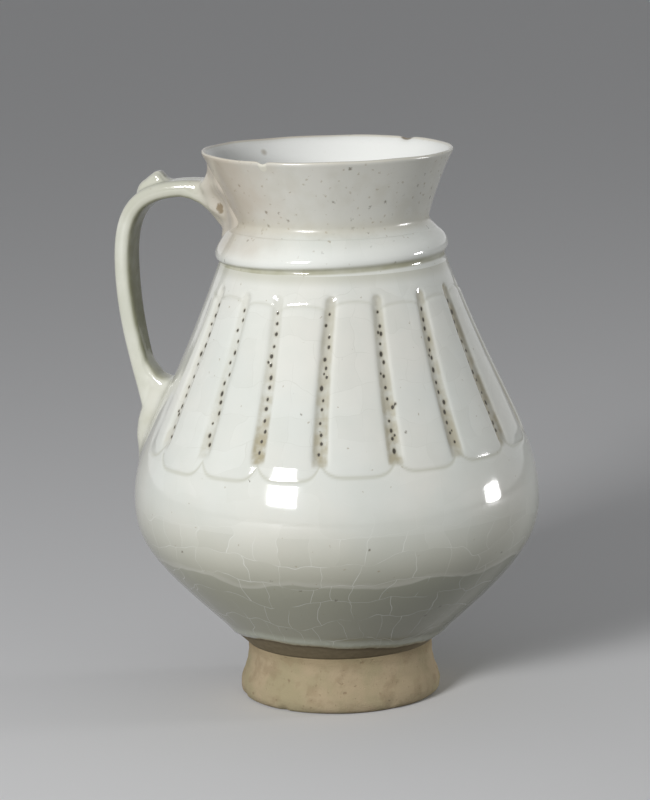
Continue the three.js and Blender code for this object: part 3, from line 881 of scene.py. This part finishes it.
# Handle
# A strap pulled from clay, luted to the neck, bent down and pressed on the shoulder with a
# tail. A wedge-shaped pellet on its arch takes the thumb. All of it is one under the glaze.
vessel_curve = np.vstack([
    foot_toe,
    foot_waist[1:],
    bowl_curve[1:],
    shoulder_curve[1:],
    collar_outer[1:],
    neck_outer[1:],
])


def strap_point(spline_point, reach, height, pull_before, pull_after, scale):
    """Sets one point of the strap's middle line. Reach is measured out from the pot's axis."""
    spline_point.handle_left_type = spline_point.handle_right_type = "FREE"
    spline_point.co = (pot_x - reach * mm, 0, height * mm)
    spline_point.handle_left = (pot_x - pull_before[0] * mm, 0, pull_before[1] * mm)
    spline_point.handle_right = (pot_x - pull_after[0] * mm, 0, pull_after[1] * mm)
    spline_point.radius = scale


bpy.ops.object.select_all(action="DESELECT")
bpy.ops.curve.primitive_bezier_circle_add()
section = bpy.context.object
section.data.resolution_u = 10
section_points = (
    ((-6.5, 0), (-6.5, -2.7), (-6.5, 2.7)),
    ((0, 2.5), (-5.4, 3.1), (5.4, 3.1)),
    ((6.5, 0), (6.5, 2.7), (6.5, -2.7)),
    ((0, -2.9), (5.4, -3), (-5.4, -3)),
)
for spline_point, (co, before, after) in zip(section.data.splines[0].bezier_points, section_points):
    spline_point.handle_left_type = spline_point.handle_right_type = "FREE"
    spline_point.co = (co[0] * mm, co[1] * mm, 0)
    spline_point.handle_left = (before[0] * mm, before[1] * mm, 0)
    spline_point.handle_right = (after[0] * mm, after[1] * mm, 0)

bpy.ops.object.select_all(action="DESELECT")
bpy.ops.curve.primitive_bezier_curve_add()
handle = bpy.context.object
handle.name = "handle"
handle.data.splines[0].bezier_points.add(2)
path = handle.data.splines[0].bezier_points
strap_point(path[0], 33.6, 165.7, (31, 165.5), (61, 168.6), 1)
strap_point(path[1], 70.8, 142, (70.8, 163.8), (70.8, 121), 1)
strap_point(path[2], 63, 94, (65.6, 106), (62.4, 88), 1.07)
strap_point(path[3], 62.4, 76, (62.6, 82), (62, 72), 0.6)
handle.data.resolution_u = 40
handle.data.bevel_mode = "OBJECT"
handle.data.bevel_object = section
handle.data.use_fill_caps = True
bpy.ops.object.convert(target="MESH")
bpy.data.objects.remove(section)
narrowing = 0.3
for vertex in handle.data.vertices:
    vertex.co.y *= 1 - narrowing * (1 - float(smooth_step(96, 143, vertex.co.z / mm)))


patch_thickness = 1.6


def wall_patch(low, high, half_turn, swell):
    """A thin solid on the vessel's wall behind the handle, which the strap is melted into."""
    heights = np.linspace(low, high, 48)
    outer = list(zip(wall_radius(vessel_curve, heights), heights))
    outline = outer + [(radius - patch_thickness, height) for radius, height in outer[::-1]]
    bpy.ops.object.select_all(action="DESELECT")
    bpy.ops.mesh.primitive_circle_add(vertices=len(outline))
    patch = bpy.context.object
    start = Vector((-math.cos(half_turn), -math.sin(half_turn), 0))
    for vertex, (radius, height) in zip(patch.data.vertices, outline):
        vertex.co = start * radius * mm + Vector((pot_x, 0, height * mm))
    bpy.ops.object.mode_set(mode="EDIT")
    bpy.ops.mesh.select_all(action="SELECT")
    bpy.ops.mesh.spin(steps=60, angle=2 * half_turn, center=(pot_x, 0, 0), axis=(0, 0, 1))
    bpy.ops.mesh.select_all(action="SELECT")
    bpy.ops.mesh.fill_holes(sides=0)
    face_outward()
    angle, radius, height = read_round(patch)
    on_face = radius > wall_radius(vessel_curve, height) - 0.5
    sideways = wall_radius(vessel_curve, height) * np.sin(angle)
    write_round(patch, angle, radius + on_face * swell(sideways, height), height)
    return patch


edge_depth = 0.15


def spread_clay(sideways, from_middle, half_width, half_height, swell, reach):
    """A fillet, thickest at the strap. It thins over the reach and ends under the wall's face."""
    beside = np.maximum(np.abs(sideways) - half_width, 0)
    beyond = np.maximum(np.abs(from_middle) - half_height, 0)
    return swell * np.clip(1 - np.hypot(beside, beyond) / reach, 0, 1) ** 2 - edge_depth


def neck_smear(sideways, height):
    ragged = 1 + 0.1 * np.sin(sideways / 2.1) + 0.08 * np.sin(height / 1.7)
    return spread_clay(sideways * ragged, height - 164, 6.5, 4, 8, 11.5)


def shoulder_smear(sideways, height):
    ragged = 1 + 0.1 * np.sin(sideways / 1.5)
    return spread_clay(sideways * ragged, 0.6 * (height - 87), 4, 5, 3.2, 13) - edge_depth


# The thumb pellet: its side outline, extruded and drawn in towards both flanks
pellet_side = [
    (53, 165.5), (63.5, 161.5), (66.4, 162.7), (66.3, 164.9), (65.6, 166.6),
    (64.4, 168), (62.7, 169.2), (60.9, 170.6), (59.4, 171.6), (58.1, 171.6),
    (57, 170.7), (56.2, 169.4), (53, 168.4),
]
pellet_middle = (pot_x - 60.5 * mm, 0, 165.5 * mm)
bpy.ops.object.select_all(action="DESELECT")
bpy.ops.mesh.primitive_circle_add(vertices=len(pellet_side), fill_type="NGON")
pellet = bpy.context.object
for vertex, (reach, height) in zip(pellet.data.vertices, pellet_side):
    vertex.co = (pot_x - reach * mm, -1.6 * mm, height * mm)
bpy.ops.object.mode_set(mode="EDIT")
bpy.ops.mesh.select_all(action="SELECT")
bpy.ops.mesh.extrude_region_move(TRANSFORM_OT_translate={"value": (0, 3.2 * mm, 0)})
for side in (-1, 1):
    bpy.ops.object.mode_set(mode="OBJECT")
    for face in pellet.data.polygons:
        face.select = len(face.vertices) == len(pellet_side) and face.center.y * side > 0
    bpy.ops.object.mode_set(mode="EDIT")
    for out, shrink in ((1.3, 0.86), (1.2, 0.75)):
        bpy.ops.mesh.extrude_region_move(TRANSFORM_OT_translate={"value": (0, side * out * mm, 0)})
        bpy.ops.transform.resize(value=(shrink, 1, shrink), center_override=pellet_middle)
face_outward()


# At 1 a ring is an ellipse, and at less its corners are fuller
fullness = 0.65


def drawn_clay(rings):
    """A lump drawn from ring to ring. A ring has two (reach, height) edges and a half width."""
    columns = 32
    bpy.ops.object.select_all(action="DESELECT")
    bpy.ops.mesh.primitive_grid_add(x_subdivisions=columns, y_subdivisions=len(rings) - 1)
    lump = bpy.context.object
    for index, vertex in enumerate(lump.data.vertices):
        row, column = divmod(index, columns + 1)
        low, high, half_width = rings[row]
        turn = math.tau * column / columns
        waves = (-math.cos(turn), math.sin(turn))
        up, side = (math.copysign(abs(wave) ** fullness, wave) for wave in waves)
        share = (1 + up) / 2
        vertex.co = (
            pot_x - (low[0] + (high[0] - low[0]) * share) * mm,
            half_width * side * mm,
            (low[1] + (high[1] - low[1]) * share) * mm,
        )
    bpy.ops.object.mode_set(mode="EDIT")
    bpy.ops.mesh.select_all(action="SELECT")
    bpy.ops.mesh.remove_doubles(threshold=merge_distance)
    bpy.ops.mesh.fill_holes(sides=0)
    face_outward()
    return lump


# The upper luting clay sweeps down to the collar. The lower fills the wedge behind the strap
upper_clay = drawn_clay([
    ((31.8, 151), (35.2, 171), 8.5),
    ((33, 151.4), (35.6, 170.9), 8.3),
    ((34.8, 152.4), (36.2, 170.6), 8),
    ((36.3, 153.6), (37.2, 170), 7.7),
    ((37.6, 155.4), (39, 169.4), 7.4),
    ((39.7, 158), (41.2, 168.8), 7.1),
    ((42.6, 160.8), (43.8, 168.3), 6.8),
    ((46.5, 162.6), (47, 168.2), 6.5),
    ((50, 163.3), (50.2, 168.2), 6.3),
    ((54, 163.9), (54, 168), 6),
])
lower_clay = drawn_clay([
    ((62.5, 66), (65, 66), 2),
    ((61.5, 72), (66.6, 72), 4),
    ((60.5, 78), (67.9, 78.5), 5.2),
    ((59.5, 83), (68.2, 84), 6),
    ((57, 89), (67.6, 89), 6.2),
    ((54, 95), (66.2, 93.5), 5.8),
    ((51.5, 100), (65.2, 97), 5.4),
    ((54.5, 102.6), (64.6, 100), 5),
    ((59.6, 104.2), (64.4, 103), 4.8),
    ((62.4, 107.6), (65.2, 107), 4.4),
    ((65, 112), (67, 112), 3.8),
])

neck_patch = wall_patch(144.5, 178, math.radians(50), neck_smear)
shoulder_patch = wall_patch(60, 120, math.radians(20), shoulder_smear)

bpy.ops.object.select_all(action="DESELECT")
for part in (pellet, upper_clay, lower_clay, neck_patch, shoulder_patch, handle):
    part.select_set(True)
bpy.context.view_layer.objects.active = handle
bpy.ops.object.join()


def apply_modifier(piece, kind, **settings):
    """Adds a modifier with its settings and applies it."""
    modifier = piece.modifiers.new(kind.lower(), kind)
    for name, value in settings.items():
        setattr(modifier, name, value)
    bpy.ops.object.modifier_apply(modifier=modifier.name)


apply_modifier(handle, "REMESH", mode="VOXEL", voxel_size=0.5 * mm)
apply_modifier(handle, "SMOOTH", factor=0.5, iterations=6)

# The roots are smoothed further, so that the strap grows out of the wall
angle, radius, height = read_round(handle)
off_wall = radius - wall_radius(vessel_curve, height)
roots = handle.vertex_groups.new(name="roots")
high = smooth_step(130, 150, height)
weight = 1 - smooth_step(0, 1, (off_wall - 2.5 - 2.5 * high) / (4.5 + 2.5 * high))
for index, share in enumerate(weight):
    if share > 0:
        roots.add([index], float(share), "REPLACE")
apply_modifier(handle, "SMOOTH", factor=0.5, iterations=45, vertex_group="roots")

# They follow the thrown wall, and their thin edges dive under its face
angle, radius, height = read_round(handle)
off_wall = radius - wall_radius(vessel_curve, height)
on_wall = 1 - smooth_step(0, 6, off_wall)
dive = 0.5 * smooth_step(-1.3, -0.7, off_wall) * (1 - smooth_step(0.1, 0.9, off_wall))
radius = radius + on_wall * hand_thrown(angle, height) - dive
radius, height = collar_tilt(angle, radius, height)
write_round(handle, angle, radius, height)

# Thick glaze has gathered olive on the side that faces the pot, darkened further with painted shade
gap_middle = np.array([-50, 0, 130])
outward = np.empty(len(handle.data.vertices) * 3)
handle.data.vertex_normals.foreach_get("vector", outward)
angle, radius, height = read_round(handle)
to_gap = gap_middle - np.column_stack([radius * np.cos(angle), radius * np.sin(angle), height])
to_gap /= np.linalg.norm(to_gap, axis=1)[:, None]
faces_gap = smooth_step(0.1, 0.8, (outward.reshape(-1, 3) * to_gap).sum(axis=1))
paint(handle, "shaded_gap_side", faces_gap * smooth_step(1, 5, off_wall))
paint(handle, "root", 1 - smooth_step(0, 14, off_wall))


def olive_inside(tree, place, tall, colour, gloss, relief):
    """The strap greener and darker, olive glaze and painted shade towards the gap, and the stains
    of both roots.
    """
    root = painted(tree, "root")
    patch = cloudy(tree, place, 8, 0.3, 0.7)
    tint = times(tree, minus(tree, 1, root), times_plus(tree, patch, 0.2, 0.45))
    colour = blend(tree, tint, colour, (0.5, 0.51, 0.4))
    # Olive towards the gap: thick glaze and painted shade
    olive = times(tree, painted(tree, "shaded_gap_side"), times_plus(tree, patch, 0.25, 0.55))
    colour = blend(tree, olive, colour, (0.25, 0.25, 0.145))
    high_root = times(tree, root, ramp(tree, tall, 140, 150))
    colour = handle_stain(tree, place, times(tree, high_root, 0.9), colour)
    dent = away_from(tree, place, (-34.5, -10.5, 161))
    dent = times_plus(tree, noise(tree, place, 0.8, 3), 3, dent)
    colour = blend(tree, times(tree, ramp(tree, dent, 3.6, 2.5), 0.85), colour, (0.24, 0.18, 0.1))
    low_root = times(tree, root, ramp(tree, tall, 120, 100))
    low_root = times(tree, low_root, times_plus(tree, patch, 0.3, 0.35))
    colour = blend(tree, low_root, colour, (0.46, 0.45, 0.34))
    return colour, gloss, relief


handle_glaze = glaze("handle_glaze", speck_spacing=3.6, speck_radius=0.42, cracks=0, trim=olive_inside)
handle_nodes = ("handle_strap", "thumb_rest", "upper_luting", "lower_luting")
finish_smooth(handle, handle_glaze, "white_glaze", *handle_nodes)
